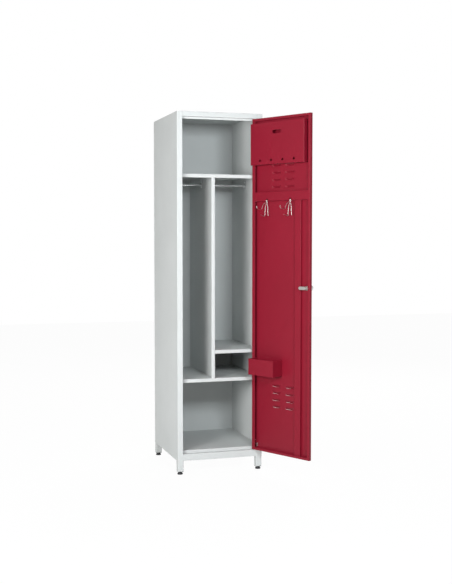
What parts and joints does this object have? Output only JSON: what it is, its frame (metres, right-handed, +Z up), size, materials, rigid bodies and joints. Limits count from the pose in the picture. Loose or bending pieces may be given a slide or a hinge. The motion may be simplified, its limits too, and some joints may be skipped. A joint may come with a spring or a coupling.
{
  "type": "clothing locker",
  "caption": "Tall steel locker with a full-height red door that swings open, helmet shelf, divided hanging columns, boot bay, wire hooks, tray and levelling feet.",
  "frame": {"origin": "on the floor under the middle of the front left foot, in the plane of the feet", "axes": "+Z up, the door and the open front on the -Y side, +X to the right of someone facing the locker, where the hinge is"},
  "size_m": [0.6089, 0.8408, 1.83],
  "materials": {
    "grey_paint": "satin powder coat",
    "red_paint": "satin powder coat",
    "zinc": "bright zinc plate",
    "chrome": "polished plate",
    "black_plastic": "matt",
    "nylon": "satin"
  },
  "bodies": {
    "cabinet": {"left_side": "grey_paint", "right_side": "grey_paint", "back_panel": "grey_paint", "roof": "grey_paint", "bottom_rail": "grey_paint", "floor_panel": "grey_paint", "helmet_shelf": "grey_paint", "divider": "grey_paint", "small_shelf": "grey_paint", "lower_shelf": "grey_paint", "helmet_ledge_left": "grey_paint", "helmet_ledge_right": "grey_paint", "small_ledge_left": "grey_paint", "small_ledge_right": "grey_paint", "lower_ledge_left": "grey_paint", "lower_ledge_right": "grey_paint", "rod_left": "chrome", "rod_right": "chrome", "rod_bracket_1": "chrome", "rod_bracket_2": "chrome", "rod_bracket_3": "chrome", "rod_bracket_4": "chrome", "leg_1": "grey_paint", "leg_2": "grey_paint", "leg_3": "grey_paint", "leg_4": "grey_paint", "leg_plug_1": "black_plastic", "leg_plug_2": "black_plastic", "leg_plug_3": "black_plastic", "leg_plug_4": "black_plastic", "pivot_bush_top": "nylon", "pivot_bush_bottom": "nylon"},
    "door": {"door_pan": "red_paint", "stiffener": "red_paint", "hook_rail": "red_paint", "pocket": "red_paint", "tray": "red_paint", "hook_1": "zinc", "hook_2": "zinc", "pivot_pin_top": "zinc", "drop_pin_guide": "zinc", "lock_barrel": "zinc", "lock_nut": "zinc"},
    "lock": {"lock_spindle": "zinc", "lock_knob": "chrome", "lock_cam": "zinc", "cam_nut": "zinc"},
    "drop_pin": {"drop_pin": "zinc"},
    "foot_1": {"foot_1": "black_plastic"},
    "stud_1": {"foot_stud_1": "zinc"},
    "foot_2": {"foot_2": "black_plastic"},
    "stud_2": {"foot_stud_2": "zinc"},
    "foot_3": {"foot_3": "black_plastic"},
    "stud_3": {"foot_stud_3": "zinc"},
    "foot_4": {"foot_4": "black_plastic"},
    "stud_4": {"foot_stud_4": "zinc"}
  },
  "joints": [
    {"name": "door_hinge", "type": "hinge", "parent": "cabinet", "child": "door", "pos_m": [0.396, -0.011, 0.95], "axis": [0, 0, 1], "range_deg": [-117, 3]},
    {"name": "lock_turn", "type": "hinge", "parent": "door", "child": "lock", "pos_m": [0.56117, -0.32415, 0.954], "axis": [-0.891, -0.454, 0], "range_deg": [0, 180]},
    {"name": "drop_pin_lift", "type": "slide", "parent": "door", "child": "drop_pin", "axis": [0, 0, 1], "range_m": [0, 0.012]},
    {"name": "foot_1_travel", "type": "slide", "parent": "cabinet", "child": "foot_1", "axis": [0, 0, 1], "range_m": [-0.012, 0]},
    {"name": "stud_1_turn", "type": "hinge", "parent": "foot_1", "child": "stud_1", "pos_m": [0, 0, 0.02], "axis": [0, 0, 1], "range_deg": [-2885, 5]},
    {"name": "foot_2_travel", "type": "slide", "parent": "cabinet", "child": "foot_2", "axis": [0, 0, 1], "range_m": [-0.012, 0]},
    {"name": "stud_2_turn", "type": "hinge", "parent": "foot_2", "child": "stud_2", "pos_m": [0.418, 0, 0.02], "axis": [0, 0, 1], "range_deg": [-2885, 5]},
    {"name": "foot_3_travel", "type": "slide", "parent": "cabinet", "child": "foot_3", "axis": [0, 0, 1], "range_m": [-0.012, 0]},
    {"name": "stud_3_turn", "type": "hinge", "parent": "foot_3", "child": "stud_3", "pos_m": [0, 0.468, 0.02], "axis": [0, 0, 1], "range_deg": [-2885, 5]},
    {"name": "foot_4_travel", "type": "slide", "parent": "cabinet", "child": "foot_4", "axis": [0, 0, 1], "range_m": [-0.012, 0]},
    {"name": "stud_4_turn", "type": "hinge", "parent": "foot_4", "child": "stud_4", "pos_m": [0.418, 0.468, 0.02], "axis": [0, 0, 1], "range_deg": [-2885, 5]}
  ],
  "couplings": [
    {"joint": "stud_1_turn", "follows": "foot_1_travel", "rad_per_m": 4188.8},
    {"joint": "stud_2_turn", "follows": "foot_2_travel", "rad_per_m": 4188.8},
    {"joint": "stud_3_turn", "follows": "foot_3_travel", "rad_per_m": 4188.8},
    {"joint": "stud_4_turn", "follows": "foot_4_travel", "rad_per_m": 4188.8}
  ]
}
